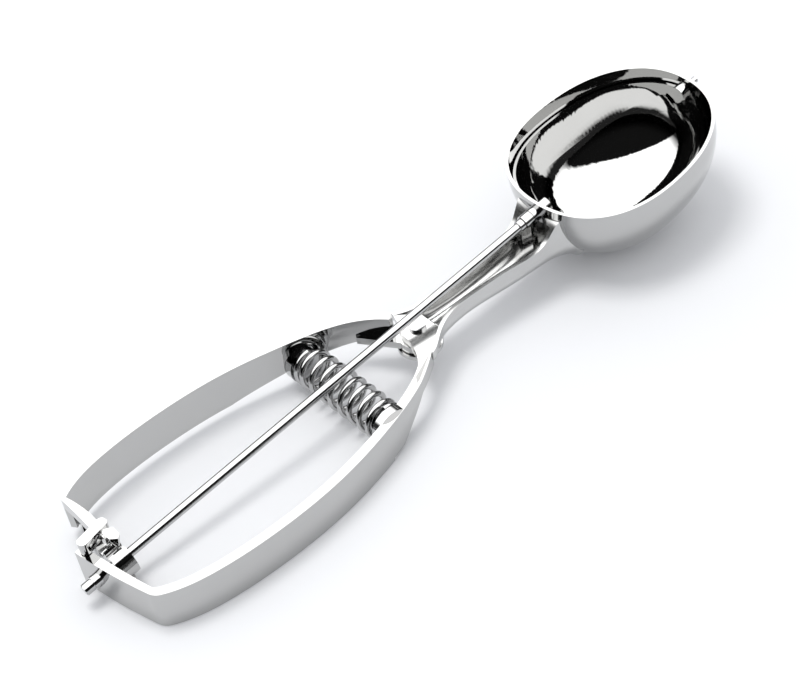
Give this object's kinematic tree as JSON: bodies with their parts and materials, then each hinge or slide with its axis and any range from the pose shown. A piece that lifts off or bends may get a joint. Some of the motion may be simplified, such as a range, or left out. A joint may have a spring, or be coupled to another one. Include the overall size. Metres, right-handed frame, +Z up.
{
  "type": "lever ice cream scoop",
  "caption": "Lever ice cream scoop in polished steel: sprung squeeze bows turn a rod whose blade sweeps a deep oval bowl clean.",
  "frame": {"origin": "under the middle of the bounding box, on the table that the scoop lies on", "axes": "+X from the handle to the bowl, +Y to the left bow (the moving one), +Z up out of the bowl"},
  "size_m": [0.2351, 0.0579, 0.0352],
  "materials": {
    "polished_steel": "mirror polished",
    "turned_steel": "polished, faint turning marks",
    "spring_steel": "bright drawn wire"
  },
  "bodies": {
    "frame": {"bowl": "polished_steel", "neck": "polished_steel", "right_handle": "polished_steel", "rear_bush": "turned_steel", "bowl_bush": "turned_steel", "rod_saddle": "polished_steel", "hinge_pin": "turned_steel", "lower_washer": "turned_steel", "upper_washer": "turned_steel", "right_spring_seat": "turned_steel", "spring": "spring_steel"},
    "left_bow": {"left_handle": "polished_steel", "rack": "turned_steel", "guide_head": "polished_steel", "left_spring_seat": "turned_steel"},
    "shaft": {"rod": "turned_steel", "pinion": "turned_steel", "pinion_pin": "turned_steel", "end_cap": "turned_steel", "thrust_collar": "turned_steel", "blade": "polished_steel", "front_pivot": "turned_steel"}
  },
  "joints": [
    {"name": "handle_squeeze", "type": "hinge", "parent": "frame", "child": "left_bow", "pos_m": [0.00175, -0.0009, 0.0102], "axis": [0, 0, 1], "range_deg": [0, 6.05], "stiffness_Nm_per_rad": 2, "springref_deg": -6.88, "deforming": ["spring"]},
    {"name": "blade_turn", "type": "hinge", "parent": "frame", "child": "shaft", "pos_m": [-0.10825, -0.0009, 0.0073], "axis": [-0.9942, 0, -0.108], "range_deg": [0, 145]}
  ],
  "couplings": [
    {"joint": "blade_turn", "follows": "handle_squeeze", "ratio": 23.811}
  ]
}
